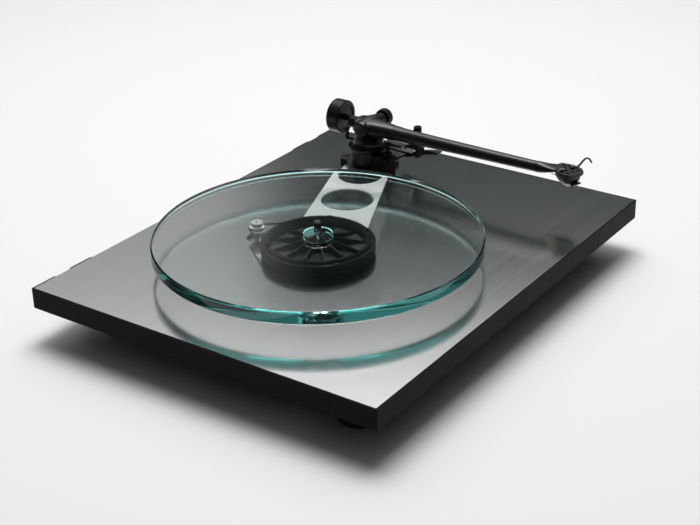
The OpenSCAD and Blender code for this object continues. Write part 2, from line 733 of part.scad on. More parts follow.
module tracking_dial() color("#17181a")
    at_arm() translate([25, 0, tilt_h]) rotate([0, 90, 0]) difference() {
        rotate_extrude() polygon([
            [0, 0], [dial_dia / 2 - 0.8, 0], [dial_dia / 2, 0.8], [dial_dia / 2, dial_t - 0.8],
            [dial_dia / 2 - 0.8, dial_t], [0, dial_t]]);
        for (a = [0:15:345]) rotate([0, 0, a])
            translate([dial_dia / 2 + 0.25, 0, 1.6]) cylinder(h = 10, d = 1.2, $fn = 16);
        translate([3, -0.4, dial_t - 0.5]) cube([4, 0.8, 2]);
    }

// Curved wire on the outer side of the headshell
module finger_lift() color("#2d2f31")
    at_headshell() wire(concat(
        bent([11, 3, headshell_z[0] + 1.5], [15, 3.4, headshell_z[0] + 1.1], [17.5, 3, headshell_z[0] + 3], 5),
        bent([18.4, 2.8, headshell_z[0] + 4.1], [23, 2.5, headshell_z[0] + 12], [27, 6.5, headshell_z[0] + 4.5])),
        0.8);

// ---------------------------------------------------------------- cartridge

module cartridge_body() color("#131415")
    at_headshell() difference() {
        union() {
            translate([0, -11, cart_top - 3.5]) linear_extrude(3.45) polygon([
                [-8.5, 0], [8.5, 0], [9.5, 14], [6, 24], [-6, 24], [-9.5, 14]]);
            rotate([90, 0, 90]) translate([0, 0, -6.5]) linear_extrude(13) polygon([
                [-11, cart_top - 3], [-11, cart_top - 8], [-4, cart_top - 9.1],
                [8, cart_top - 8.7], [13, cart_top - 5.6], [13, cart_top - 3]]);
        }
        for (s = [-1, 1]) translate([s * screw_half, 0, cart_top - 5]) cylinder(h = 8, d = 2.6);
    }

module cartridge_screws() color("#b4b6b8")
    at_headshell() for (s = [-1, 1]) translate([s * screw_half, 0, 0]) difference() {
        union() {
            translate([0, 0, headshell_z[1]]) cylinder(h = 1.8, d = 4.6);
            translate([0, 0, cart_top - 3.4]) cylinder(h = headshell_z[1] - cart_top + 3.4, d = 2.5);
        }
        translate([0, 0, headshell_z[1] + 0.9]) cylinder(h = 2, d = 2, $fn = 6);
    }

module cartridge_pins() color("#caa24a")
    at_headshell() for (q = pin_xz) translate([q[0], 0, q[1]]) y_rod(-15, -11, 0.6);

module cartridge_leads() color("#7d7f80")
    at_headshell() for (q = pin_xz)
        wire(bent([q[0], -14.6, q[1]], [q[0] * 1.4, -21, q[1] - 2],
            [2 + q[0] * 0.5, -24.4, q[1] * 0.4 + 25.4], 8), 0.35);

module stylus_holder() color("#1f2123")
    at_headshell() rotate([90, 0, 90]) translate([0, 0, -3.5]) linear_extrude(7) polygon([
        [4, cart_top - 9.2], [9, cart_top - 8.8], [14.4, cart_top - 5.4],
        [15.6, cart_top - 6.8], [12, cart_top - 9.6], [5, cart_top - 10]]);

module stylus() color("#c6c8c9")
    at_headshell() union() {
        translate([0, 12.4, cart_top - 9.2]) rotate([-106, 0, 0]) cylinder(h = 5, r = 0.35);
        translate([0, stylus_ahead, stylus_z]) cylinder(h = 0.8, d1 = 0.2, d2 = 0.6);
    }

// ---------------------------------------------------------------- output

edge_frame();
plinth_core();
bottom_skin();
top_plate();
top_brace();
bottom_brace();
foot_front_left();
foot_front_right();
foot_rear();
foot_pad_front_left();
foot_pad_front_right();
foot_pad_rear();
foot_screws();
motor_can();
motor_cover();
motor_board();
motor_shaft();
motor_pulley();
drive_belt();
bearing_housing();
bearing_nut();
bearing_ball();
spindle();
subplatter();
platter_pads();
platter();
switch_housing();
power_rocker();
power_inlet();
cable_gland();
arm_flange();
flange_screws();
arm_nut();
arm_post();
post_ring();
lift_housing();
lift_platform();
cue_lever();
bias_housing();
bias_slider();
arm_rest();
arm_clip();
arm_carrier();
cross_pin();
rear_bracket();
arm_tube();
weight_stub();
counterweight();
tracking_dial();
finger_lift();
cartridge_body();
cartridge_screws();
cartridge_pins();
cartridge_leads();
stylus_holder();
stylus();
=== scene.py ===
# %% [markdown]
# # A belt-drive record player with a glass platter
# A record player of this kind is a thin black plinth with a metal skin on top.
# A small motor turns a light subplatter through a belt, and the subplatter carries a thick glass platter.
# The tonearm swings on a post at the back.
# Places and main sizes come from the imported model; this script adds finer surfaces and finishes to it.
# All lengths are metres, and a shape drawn in millimetres is multiplied by mm.

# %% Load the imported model
import bpy
import math
import numpy as np
from mathutils import Matrix, Vector


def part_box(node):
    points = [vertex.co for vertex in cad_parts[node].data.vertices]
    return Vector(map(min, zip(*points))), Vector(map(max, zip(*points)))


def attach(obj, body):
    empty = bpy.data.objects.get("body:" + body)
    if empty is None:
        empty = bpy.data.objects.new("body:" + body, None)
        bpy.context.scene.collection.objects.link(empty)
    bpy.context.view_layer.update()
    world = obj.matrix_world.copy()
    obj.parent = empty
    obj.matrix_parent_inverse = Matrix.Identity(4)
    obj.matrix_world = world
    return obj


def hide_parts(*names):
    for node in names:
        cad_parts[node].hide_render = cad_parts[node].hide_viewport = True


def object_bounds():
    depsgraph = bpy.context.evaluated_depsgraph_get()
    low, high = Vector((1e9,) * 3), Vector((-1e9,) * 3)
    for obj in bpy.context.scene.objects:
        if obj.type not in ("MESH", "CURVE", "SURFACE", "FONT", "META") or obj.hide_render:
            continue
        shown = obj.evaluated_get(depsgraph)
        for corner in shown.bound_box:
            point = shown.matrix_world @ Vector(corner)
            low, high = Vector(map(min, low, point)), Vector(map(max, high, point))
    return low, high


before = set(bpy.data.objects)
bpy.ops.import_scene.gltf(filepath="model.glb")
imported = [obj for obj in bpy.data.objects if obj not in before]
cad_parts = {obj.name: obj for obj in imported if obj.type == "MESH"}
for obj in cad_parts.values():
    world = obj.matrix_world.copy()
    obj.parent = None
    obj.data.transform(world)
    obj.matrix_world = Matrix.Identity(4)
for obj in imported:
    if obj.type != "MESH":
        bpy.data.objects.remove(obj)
cad_low, cad_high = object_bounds()
mm = 0.001
scene = bpy.context.scene
print("the packed model measures", [round(h - l, 4) for l, h in zip(cad_low, cad_high)], "m")

# %% [markdown]
# Most places on this object hang from three upright axes: the platter's, the motor's and the arm's.
# They are read from the boxes of the parts that sit on them, so a changed model moves the pieces too.

# %% The three upright axes
def middle(node):
    """Halfway between the lowest and the highest corner of a part."""
    low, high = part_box(node)
    return np.array((low + high) / 2)


plate_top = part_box("top_plate")[1].z
hub = np.array([*middle("platter")[:2], plate_top])
motor = np.array([*middle("motor_pulley")[:2], plate_top])
arm = np.array([*middle("arm_post")[:2], plate_top])
print("hub", hub.round(4), "motor", motor.round(4), "arm", arm.round(4))

# %% [markdown]
# ## Camera
# The camera looks down on the front left corner from a little over a metre away, with a long lens.
# A camera could be aimed with a Track To constraint, but then it could not lean.
# So its rotation is worked out from a compass angle, a height angle and a slight lean, as three unit vectors.

# %% Place the camera
def camera_axes(compass, height, lean):
    """Right, up and back unit vectors; back points from the scene to the camera, and lean turns the others."""
    flat = math.cos(height)
    back = np.array([math.sin(compass) * flat, -math.cos(compass) * flat, math.sin(height)])
    level = np.cross([0, 0, 1], back)
    level /= np.linalg.norm(level)
    rise = np.cross(back, level)
    right = math.cos(lean) * level + math.sin(lean) * rise
    up = math.cos(lean) * rise - math.sin(lean) * level
    return right, up, back


camera_compass = math.radians(-54.79)
camera_height = math.radians(26.46)
camera_lean = math.radians(-1.13)
camera_place = np.array([-0.9718, -0.6849, 0.5703]) + [0, 0, plate_top]
camera_data = bpy.data.cameras.new("studio_camera")
camera_data.sensor_width = 36
camera_data.lens = 74.84
camera = bpy.data.objects.new("studio_camera", camera_data)
scene.collection.objects.link(camera)
turn = np.eye(4)
turn[:3, :3] = np.stack(camera_axes(camera_compass, camera_height, camera_lean), -1)
turn[:3, 3] = camera_place
camera.matrix_world = Matrix(turn.tolist())
scene.camera = camera
scene.view_settings.view_transform = "Standard"
print("camera at", camera_place.round(3))

# %% [markdown]
# ## Studio
# Brushed metal shows the room more than it shows itself, so the room matters as much as the finish.
# The room here is a bright wall behind the object with a dark band under it.
# The near half of the plate mirrors the wall, and the far half mirrors the dark band.
# The room is dim behind the camera, so that shadows fall towards it.
# A picture of a room would do the same, but a few ramps on the view direction are easier to adjust.

# %% Small helpers for node trees
def number(tree, operation, a, b=0.0, c=0.0):
    """A Math node whose inputs are sockets or plain numbers; returns its output."""
    node = tree.nodes.new("ShaderNodeMath")
    node.operation = operation
    for place, value in zip(node.inputs, (a, b, c)):
        if isinstance(value, (int, float)):
            place.default_value = value
        else:
            tree.links.new(value, place)
    return node.outputs[0]


def ramp(tree, value, start, end, low=0.0, high=1.0, kind="SMOOTHSTEP"):
    """A socket that goes from low at start to high at end, in a smooth step unless told otherwise."""
    node = tree.nodes.new("ShaderNodeMapRange")
    node.interpolation_type = kind
    for name, setting in (("From Min", start), ("From Max", end), ("To Min", low), ("To Max", high)):
        node.inputs[name].default_value = setting
    tree.links.new(value, node.inputs["Value"])
    return node.outputs[0]


def blend(tree, factor, first, second):
    """A mix of two colours by a socket; returns its colour."""
    node = tree.nodes.new("ShaderNodeMix")
    node.data_type = "RGBA"
    node.inputs["A"].default_value = (*first, 1)
    node.inputs["B"].default_value = (*second, 1)
    tree.links.new(factor, node.inputs["Factor"])
    return node.outputs["Result"]


def placed(tree, vector, **settings):
    """A Mapping node over a vector socket, with the given Scale, Location or Rotation."""
    node = tree.nodes.new("ShaderNodeMapping")
    for name, setting in settings.items():
        node.inputs[name].default_value = setting
    tree.links.new(vector, node.inputs["Vector"])
    return node.outputs[0]


print("helpers for node trees are ready")

# %% [markdown]
# The wall's brightness is the sum of two ramps of the height of the view direction.
# A ramp of the compass direction dims it round the back.
# A faint glow low on the left lifts the left end of the plate.

# %% The room: brightness by height and by compass direction
def rise(degrees):
    """Height of a unit vector that points this many degrees above the horizon."""
    return math.sin(math.radians(degrees))


wall_foot, wall_full, wall_level = 28.0, 31.6, 1.35
upper_foot, upper_full, upper_level = 33.0, 48.0, 0.45
glow_foot, glow_full, glow_level = 21.0, 23.5, 0.42
side_start, side_end, back_level = 0.55, 1.2, 0.09
band_colour = (0.018, 0.029, 0.028)

world = bpy.data.worlds.new("studio_room")
scene.world = world
world.use_nodes = True
room = world.node_tree
room.nodes.clear()
look = room.nodes.new("ShaderNodeTexCoord")
facing = placed(room, look.outputs["Generated"], Rotation=(0, 0, -camera_compass))
split = room.nodes.new("ShaderNodeSeparateXYZ")
room.links.new(facing, split.inputs[0])
across, ahead, height = split.outputs
bearing = number(room, "ARCTAN2", across, ahead)
wall = ramp(room, height, rise(wall_foot), rise(wall_full), 0.0, wall_level)
upper_wall = ramp(room, height, rise(upper_foot), rise(upper_full), 0.0, upper_level)
left_glow = number(room, "MULTIPLY", ramp(room, bearing, -0.02, -0.11, 0.0, glow_level),
                   ramp(room, height, rise(glow_foot), rise(glow_full)))
level = number(room, "MAXIMUM", number(room, "ADD", wall, upper_wall), left_glow)
behind = ramp(room, number(room, "ABSOLUTE", bearing), side_start, side_end, 1.0, back_level)
strength = number(room, "MULTIPLY", number(room, "MAXIMUM", level, 1.0), behind)
sky = room.nodes.new("ShaderNodeBackground")
room_out = room.nodes.new("ShaderNodeOutputWorld")
room.links.new(blend(room, level, band_colour, (1, 1, 1)), sky.inputs["Color"])
room.links.new(strength, sky.inputs["Strength"])
room.links.new(sky.outputs[0], room_out.inputs[0])
print("the wall starts", wall_foot, "degrees above the horizon")

# %% [markdown]
# A large soft lamp hangs high over the back of the object.
# It lights the floor and draws the bright lines along the glass edges.
# An area lamp was chosen over a sun lamp because its size alone sets how soft the shadows are.
# The light may bounce more often than usual: inside the glass it zigzags many times before it comes out.

# %% The lamp behind the object
def soft_lamp(name, place, target, width, depth, power):
    """A rectangular area lamp at place that faces target."""
    data = bpy.data.lights.new(name, "AREA")
    data.shape = "RECTANGLE"
    data.size, data.size_y, data.energy = width, depth, power
    lamp = bpy.data.objects.new(name, data)
    lamp.location = place
    lamp.rotation_euler = (Vector(target) - Vector(place)).to_track_quat("-Z", "Y").to_euler()
    scene.collection.objects.link(lamp)
    return lamp


lamp_side = 1.1
lamp_watts = 30
soft_lamp("overhead_lamp", (0.42, 0.28, 1.9), (0.36, 0.24, 0), lamp_side, lamp_side, lamp_watts)
scene.cycles.max_bounces = 24
scene.cycles.glossy_bounces = 20
scene.cycles.transmission_bounces = 24
print("light may bounce", scene.cycles.max_bounces, "times")

# %% [markdown]
# ## Making surfaces
# Every new piece here is a grid of points: rows along one direction and columns along the other.
# Neighbouring rows are joined with four-sided faces, and a fan round one centre point closes each open end.
# Modelling by hand would work too, but a grid can be changed by changing one number.

# %% From a grid of points to a piece
def grid_faces(rows, columns, ring_rows, ring_columns):
    """Corner numbers of the four-sided faces between neighbouring points of a grid, as one array."""
    r, c = np.meshgrid(np.arange(rows if ring_rows else rows - 1),
                       np.arange(columns if ring_columns else columns - 1), indexing="ij")
    r2, c2 = (r + 1) % rows, (c + 1) % columns
    return np.stack([r * columns + c, r2 * columns + c, r2 * columns + c2, r * columns + c2], -1).reshape(-1, 4)


def fan_faces(row, columns, centre):
    """Triangles from one row of a grid to a centre point, as one array."""
    c = np.arange(columns)
    return np.stack([row * columns + c, row * columns + (c + 1) % columns, np.full(columns, centre)], -1)


def volume_of(points, faces):
    """Signed volume: the sum over triangles of first corner dot (second cross third), over six."""
    a, b, c = points[faces[:, 0]], points[faces[:, 1]], points[faces[:, 2]]
    total = np.einsum("ij,ij->i", a, np.cross(b, c)).sum()
    if faces.shape[1] == 4:
        d = points[faces[:, 3]]
        total += np.einsum("ij,ij->i", a, np.cross(c, d)).sum()
    return total / 6


def surface(grid, ring_rows=False, ring_columns=True):
    """One closed skin over a grid: open rows get a fan at each end, and all faces point outwards."""
    rows, columns = grid.shape[:2]
    points = grid.reshape(-1, 3)
    quads = grid_faces(rows, columns, ring_rows, ring_columns)
    fans = np.zeros((0, 3), int)
    if not ring_rows:
        points = np.vstack([points, grid[0].mean(0), grid[-1].mean(0)])
        start = fan_faces(0, columns, rows * columns)
        end = fan_faces(rows - 1, columns, rows * columns + 1)[:, ::-1]
        fans = np.vstack([start, end])
    if volume_of(points, quads) + volume_of(points, fans) < 0:
        quads, fans = quads[:, ::-1], fans[:, ::-1]
    return points, quads, fans


def join(skins):
    """Several skins as one list of points and one list of faces."""
    points, faces, base = [], [], 0
    for p, quads, fans in skins:
        points.append(p)
        faces += (quads + base).tolist() + (fans + base).tolist()
        base += len(p)
    return np.vstack(points), faces


def settle(made, body, nodes):
    """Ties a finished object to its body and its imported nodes."""
    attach(made, body)
    if nodes:
        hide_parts(*nodes)
    print(made.name, len(made.data.polygons), "faces on", body)
    return made


def piece(name, skins, finish, body, nodes, crease=40):
    """A smooth object made of skins, riding on a body and standing for some nodes; sharper edges stay sharp."""
    points, faces = join(skins)
    mesh = bpy.data.meshes.new(name)
    mesh.from_pydata(points.tolist(), [], faces)
    mesh.polygons.foreach_set("use_smooth", np.ones(len(mesh.polygons), bool))
    mesh.update()
    mesh.set_sharp_from_angle(angle=math.radians(crease))
    mesh.materials.append(finish)
    made = bpy.data.objects.new(name, mesh)
    scene.collection.objects.link(made)
    return settle(made, body, nodes)


print("a box drawn as a grid has", len(grid_faces(2, 4, False, True)), "side faces")

# %% [markdown]
# Turned parts are a half section swept round an axis, as a lathe makes them.
# A Screw modifier could sweep them too, but the formula says exactly where every point goes.
# Real turned edges are never razor sharp: each corner gets a small round, which is what catches the light.
# Extra points sit just outside each round, so that the flats beside it stay flat under smooth shading.

# %% Rounded half sections and turned skins
def eased(section, round_by, steps=4, closed=True):
    """Replaces each corner by a quadratic curve pulled to it, which starts and ends round_by away from it."""
    corners = np.asarray(section, float)
    before, after = np.roll(corners, 1, 0), np.roll(corners, -1, 0)
    if not closed:
        before[0], after[-1] = corners[0], corners[-1]
    result = []
    for last, corner, following in zip(before, corners, after):
        if (last == corner).all() or (following == corner).all():
            result.append(corner[None])
            continue
        reach = min(round_by, 0.4 * np.linalg.norm(last - corner), 0.4 * np.linalg.norm(following - corner))
        start = corner + (last - corner) / np.linalg.norm(last - corner) * reach
        end = corner + (following - corner) / np.linalg.norm(following - corner) * reach
        t = np.linspace(0, 1, steps + 1)[:, None]
        curve = (1 - t) ** 2 * start + 2 * t * (1 - t) * corner + t ** 2 * end
        lead, trail = start + 0.15 * (start - corner), end + 0.15 * (end - corner)
        result.append(np.vstack([lead, curve, trail]))
    return np.vstack(result)


def turned(section, centre, axis="z", columns=96, ring=False):
    """(radius, height) pairs swept round an axis: centre + radius * (cos, sin) + height along the axis."""
    section = np.asarray(section, float) * mm
    angle = np.linspace(0, 2 * math.pi, columns, endpoint=False)
    radius, height = section[:, 0][:, None], section[:, 1][:, None]
    flat = [radius * np.cos(angle), radius * np.sin(angle), height + 0 * angle]
    order = {"z": (0, 1, 2), "x": (2, 0, 1), "y": (1, 2, 0)}[axis]
    grid = np.stack([flat[k] for k in order], -1) + np.asarray(centre)
    return surface(grid, ring_rows=ring)


at_axis = 0.01
disc_section = eased([(5, 0), (5, 1), (at_axis, 1), (at_axis, 0)], 0.3)
print("a 10 mm disc has", len(disc_section), "points in its eased section")

# %% [markdown]
# Wires and belts are a circle carried along a path.
# At each point the circle lies across the path's direction.
# A bevelled curve object gives the same skin, and this way it needs no conversion to a mesh.

# %% A round section carried along a path
def carried(path, radius, columns=12, closed=False):
    """A circle, of one radius or one per point, across each point of a path: point + r (cos side + sin up)."""
    path = np.asarray(path, float)
    if closed:
        along = np.roll(path, -1, 0) - np.roll(path, 1, 0)
    else:
        along = np.gradient(path, axis=0)
    along /= np.linalg.norm(along, axis=1)[:, None]
    upright = np.where(np.abs(along[:, 2:]) > 0.9, [[1.0, 0, 0]], [[0, 0, 1.0]])
    side = np.cross(along, upright)
    side /= np.linalg.norm(side, axis=1)[:, None]
    rise = np.cross(side, along)
    angle = np.linspace(0, 2 * math.pi, columns, endpoint=False)[None, :, None]
    reach = np.broadcast_to(np.asarray(radius, float), len(path))[:, None, None]
    grid = path[:, None] + reach * (np.cos(angle) * side[:, None] + np.sin(angle) * rise[:, None])
    return surface(grid, ring_rows=closed)

# %% [markdown]
# ## Finishes
# Paint, moulding and metal all have a grain.
# One recipe serves most of them: a noise in Object coordinates varies colour, roughness and a faint bump.
# Stretching the noise gives brushing, and rings about an axis give turning marks.

# %% One recipe for a grained finish
finishes = {}
bump_height = 0.1 * mm


def bumped(tree, height, strength):
    """A Bump node that raises the surface by a socket; strength 1 means bump_height between black and white."""
    node = tree.nodes.new("ShaderNodeBump")
    node.inputs["Strength"].default_value = strength
    node.inputs["Distance"].default_value = bump_height
    tree.links.new(height, node.inputs["Height"])
    return node


def noise(tree, vector, scale, detail):
    """A Noise texture over a vector socket; returns its grey value."""
    node = tree.nodes.new("ShaderNodeTexNoise")
    node.inputs["Scale"].default_value = scale
    node.inputs["Detail"].default_value = detail
    tree.links.new(vector, node.inputs["Vector"])
    return node.outputs["Fac"]


def grained(name, dark, light, rough=(0.3, 0.4), grain=900.0, depth=0.1, metal=0.0, stretch=(1, 1, 1),
            rings=None, ring_scale=900.0, ring_depth=0.15, shine=0.5, coarse=60.0):
    """Mixes dark and light by (fine + coarse noise) / 2, which also sets roughness; the fine one bumps."""
    made = bpy.data.materials.new(name)
    finishes[name] = made
    made.use_nodes = True
    tree = made.node_tree
    shader = tree.nodes["Principled BSDF"]
    shader.inputs["Metallic"].default_value = metal
    shader.inputs["Specular IOR Level"].default_value = shine
    place = tree.nodes.new("ShaderNodeTexCoord").outputs["Object"]
    lay = placed(tree, place, Scale=stretch)
    fine = noise(tree, lay, grain, 4)
    wide = noise(tree, lay, coarse, 3)
    both = number(tree, "MULTIPLY_ADD", fine, 0.5, number(tree, "MULTIPLY", wide, 0.5))
    tree.links.new(blend(tree, both, dark, light), shader.inputs["Base Color"])
    tree.links.new(ramp(tree, both, 0.3, 0.7, *rough, kind="LINEAR"), shader.inputs["Roughness"])
    last = bumped(tree, fine, depth)
    if rings is not None:
        axis, centre = rings
        wave = tree.nodes.new("ShaderNodeTexWave")
        wave.wave_type = "RINGS"
        wave.rings_direction = axis.upper()
        wave.inputs["Scale"].default_value = ring_scale
        wave.inputs["Distortion"].default_value = 0.6
        tree.links.new(placed(tree, place, Location=-np.asarray(centre, float)), wave.inputs["Vector"])
        turned_marks = bumped(tree, wave.outputs["Fac"], ring_depth)
        tree.links.new(last.outputs[0], turned_marks.inputs["Normal"])
        last = turned_marks
    tree.links.new(last.outputs[0], shader.inputs["Normal"])
    return made


def grey(value, warm=0.0):
    """A neutral colour of one brightness; warm above zero leans it to red and below zero to teal."""
    return (value * (1 + warm), value, value * (1 - warm))


print("a slightly warm grey is", [round(part, 3) for part in grey(0.60, 0.01)])

# %% [markdown]
# The top skin is brushed metal, so its noise is stretched along the brushing.
# The braces are polished a little brighter, and the frame round the plinth is satin black paint.

# %% Plinth finishes
grained("brushed_plate", grey(0.60, 0.01), grey(0.70, 0.01), (0.15, 0.17), 1500, 0.03, 1.0,
        stretch=(0.04, 1, 1), coarse=200)
grained("bright_brace", grey(0.84), grey(0.98), (0.36, 0.46), 1400, 0.08, 0.55,
        stretch=(1, 0.03, 1), coarse=900)
grained("frame_black", grey(0.0025), grey(0.004), (0.42, 0.52), 2200, 0.12, shine=0.07)
grained("skin_black", grey(0.006), grey(0.010), (0.40, 0.50), 1600, 0.15, shine=0.3)
grained("core_board", (0.030, 0.025, 0.020), (0.055, 0.046, 0.036), (0.6, 0.75), 700, 0.3)
grained("foot_shell", grey(0.012), grey(0.020), (0.42, 0.55), 1400, 0.2)
grained("foot_rubber", grey(0.010), grey(0.018), (0.65, 0.80), 900, 0.3)
grained("steel_screws", grey(0.42), grey(0.55), (0.28, 0.36), 1600, 0.08, 1.0)
grained("circuit_board", (0.010, 0.075, 0.035), (0.02, 0.11, 0.05), (0.3, 0.45), 500, 0.1)
print(len(finishes), "plinth finishes made")

# %% [markdown]
# Turned metal shows fine rings about its own axis, so each of these finishes knows the centre of its part.
# The moulded parts and the belt are dull black with a fine grain.

# %% Drive finishes
grained("polished_metal", grey(0.84), grey(0.94), (0.26, 0.34), 1200, 0.03, 1.0,
        rings=("z", motor), ring_scale=2500, ring_depth=0.04)
grained("bearing_brass", (0.55, 0.36, 0.12), (0.66, 0.45, 0.18), (0.25, 0.35), 1200, 0.06, 1.0,
        rings=("z", hub))
grained("spindle_steel", grey(0.16), grey(0.24), (0.20, 0.28), 1500, 0.04, 1.0,
        rings=("z", hub), ring_scale=2500, ring_depth=0.05)
moulded_black = grained("moulded_black", grey(0.0035), grey(0.007), (0.42, 0.54), 1600, 0.18, shine=0.14)
belt_rubber = grained("belt_rubber", grey(0.004), grey(0.008), (0.50, 0.62), 1500, 0.2, shine=0.3)
grained("switch_black", grey(0.012), grey(0.018), (0.35, 0.45), 1500, 0.12)
grained("rocker_white", grey(0.62), grey(0.70), (0.32, 0.42), 1200, 0.08)
print(len(finishes), "finishes so far")

# %% [markdown]
# The arm's casting is painted a smooth glossy black, and its weight and dial are a little duller.
# The weight is turned about the arm's length, so its rings run about that axis.

# %% Arm finishes
arm_black = grained("arm_black", grey(0.004), grey(0.008), (0.28, 0.36), 2600, 0.12, shine=0.5)
weight_black = grained("weight_black", grey(0.005), grey(0.010), (0.26, 0.34), 2400, 0.10, shine=0.26,
                       rings=("y", middle("counterweight")), ring_scale=1800, ring_depth=0.08)
dial_black = grained("dial_black", grey(0.004), grey(0.008), (0.34, 0.44), 2200, 0.10, shine=0.12)
bias_grey = grained("bias_grey", grey(0.74), grey(0.84), (0.40, 0.48), 2200, 0.08, 0.15, stretch=(1, 0.1, 1))
grained("lever_dark", grey(0.008), grey(0.014), (0.30, 0.40), 1500, 0.12, shine=0.45)
grained("slider_white", grey(0.62), grey(0.70), (0.30, 0.40), 1200, 0.06)
dark_steel = grained("dark_steel", grey(0.05), grey(0.08), (0.26, 0.34), 1500, 0.06, 0.8)
bright_steel = grained("bright_steel", grey(0.62), grey(0.74), (0.18, 0.26), 1500, 0.05, 1.0)
cartridge_black = grained("cartridge_black", grey(0.004), grey(0.008), (0.28, 0.38), 2000, 0.12, shine=0.45)
grained("pin_gold", (0.75, 0.52, 0.16), (0.85, 0.62, 0.22), (0.20, 0.28), 1500, 0.04, 1.0)
grained("lead_grey", grey(0.24), grey(0.32), (0.40, 0.50), 1500, 0.08)
grained("cantilever", grey(0.55), grey(0.68), (0.20, 0.28), 1500, 0.04, 1.0)
print(len(finishes), "finishes so far")

# %% [markdown]
# Float glass looks clear through its face and blue-green through its edge, where light crosses far more of it.
# A volume takes a little red out of the light for every millimetre.
# The ground rim is also tinted on its surface: a ramp of the distance from the hub turns clear into blue-green.
# A tinted surface alone would colour the face as well, so the two are used together.

# %% Platter glass
platter_glass = grained("platter_glass", grey(0.985), grey(1.0), (0.0, 0.012), 400, 0.0)
glass_tree = platter_glass.node_tree
glass = glass_tree.nodes["Principled BSDF"]
glass.inputs["Transmission Weight"].default_value = 1.0
glass.inputs["IOR"].default_value = 1.52
tint = glass_tree.nodes.new("ShaderNodeVolumeAbsorption")
tint.inputs["Color"].default_value = (0.40, 0.86, 0.80, 1)
tint.inputs["Density"].default_value = 3.0
spot = placed(glass_tree, glass_tree.nodes.new("ShaderNodeTexCoord").outputs["Object"], Location=-hub)
spread = glass_tree.nodes.new("ShaderNodeSeparateXYZ")
glass_tree.links.new(spot, spread.inputs[0])
across, ahead = spread.outputs[:2]
squared = number(glass_tree, "MULTIPLY_ADD", across, across, number(glass_tree, "MULTIPLY", ahead, ahead))
rim_inner, rim_outer = 144.4 * mm, 145.6 * mm
at_rim = ramp(glass_tree, number(glass_tree, "SQRT", squared), rim_inner, rim_outer)
edge_tint = blend(glass_tree, at_rim, (0.985, 1.0, 0.995), (0.11, 0.40, 0.40))
glass_tree.links.new(edge_tint, glass.inputs["Base Color"])
glass_tree.links.new(tint.outputs[0], glass_tree.nodes["Material Output"].inputs["Volume"])
print("the refractive index of the glass is", round(glass.inputs["IOR"].default_value, 2))

# %% [markdown]
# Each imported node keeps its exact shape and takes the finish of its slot.
# The cross pin of the arm is painted with the casting that surrounds it.

# %% Give every node its finish
for node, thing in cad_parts.items():
    for place in thing.material_slots:
        wanted = place.material.name.split(".")[0]
        if wanted not in finishes:
            print("no finish for", wanted, "on", node)
        place.material = arm_black if node == "cross_pin" else finishes.get(wanted, moulded_black)
print(len(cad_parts), "nodes took one of", len(finishes), "finishes")

# %% [markdown]
# ## Floor
# The object stands on a plain pale floor that runs out of sight.
# One large face is enough, because the camera never sees its edges.

# %% The floor
floor_paint = grained("floor_paint", grey(0.80), grey(0.82), (0.6, 0.7), 40, 0.02)
reach = 6.0
corners = [(-reach, -reach, 0), (reach, -reach, 0), (reach, reach, 0), (-reach, reach, 0)]
floor_mesh = bpy.data.meshes.new("floor")
floor_mesh.from_pydata([(x, y, cad_low[2]) for x, y, z in corners], [], [(0, 1, 2, 3)])
floor_mesh.materials.append(floor_paint)
floor = bpy.data.objects.new("floor", floor_mesh)
scene.collection.objects.link(floor)
print("floor at", round(cad_low[2], 4), "reaches", reach, "m each way")

# %% [markdown]
# ## Glass platter
# The platter is a thick glass disc with ground bevels on both rims and a hole for the hub.
# Its section is closed, so it is swept as a ring.
# A cylinder with a hole cut in it would do too, but a swept section rounds all its rims at once.

# %% The glass platter
low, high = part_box("platter")
glass_r = (high.x - low.x) / 2 / mm
glass_z = [(low.z - plate_top) / mm, (high.z - plate_top) / mm]
hub_hole_r = 12.5
bevel, hole_bevel = 1.2, 0.5
section = [(hub_hole_r + hole_bevel, glass_z[0]), (glass_r - bevel, glass_z[0]), (glass_r, glass_z[0] + bevel),
           (glass_r, glass_z[1] - bevel), (glass_r - bevel, glass_z[1]), (hub_hole_r + hole_bevel, glass_z[1]),
           (hub_hole_r, glass_z[1] - hole_bevel), (hub_hole_r, glass_z[0] + hole_bevel)]
piece("glass_platter", [turned(eased(section, 0.35), hub, columns=256, ring=True)], platter_glass,
      "rotor", ["platter"], crease=60)

# %% [markdown]
# ## Belt
# The belt is a round rubber ring, pulled straight between the drum of the subplatter and the pulley.
# Its path is two arcs and the two lines that touch them both, and a small circle is carried along it.

# %% The drive belt
def belt_path(big, small, count=90):
    """Arc of radius big about the hub, then of radius small about the motor; the gaps are their tangents."""
    across = motor[:2] - hub[:2]
    span = np.linalg.norm(across)
    heading = math.atan2(across[1], across[0])
    lean = math.acos((big - small) / span)
    round_hub = heading + np.linspace(lean, 2 * math.pi - lean, count)
    round_motor = heading + np.linspace(-lean, lean, count // 3)
    arcs = [hub[:2] + big * np.stack([np.cos(round_hub), np.sin(round_hub)], -1),
            motor[:2] + small * np.stack([np.cos(round_motor), np.sin(round_motor)], -1)]
    return arcs


belt_low, belt_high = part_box("drive_belt")
belt_r = (belt_high.z - belt_low.z) / 2
drum_across, groove_across = 97 * mm, 12.2 * mm
drum_arc, groove_arc = belt_path(drum_across / 2 + belt_r, groove_across / 2 + belt_r)


def straight(start, end, count=24):
    """Points of a straight run between two points, without its ends."""
    t = np.linspace(0, 1, count + 2)[1:-1, None]
    return start + t * (end - start)


flat_path = np.vstack([drum_arc, straight(drum_arc[-1], groove_arc[0]), groove_arc,
                       straight(groove_arc[-1], drum_arc[0])])
level_path = np.hstack([flat_path, np.full((len(flat_path), 1), (belt_low.z + belt_high.z) / 2)])
piece("round_belt", [carried(level_path, belt_r, 12, closed=True)], belt_rubber,
      "root", ["drive_belt"])

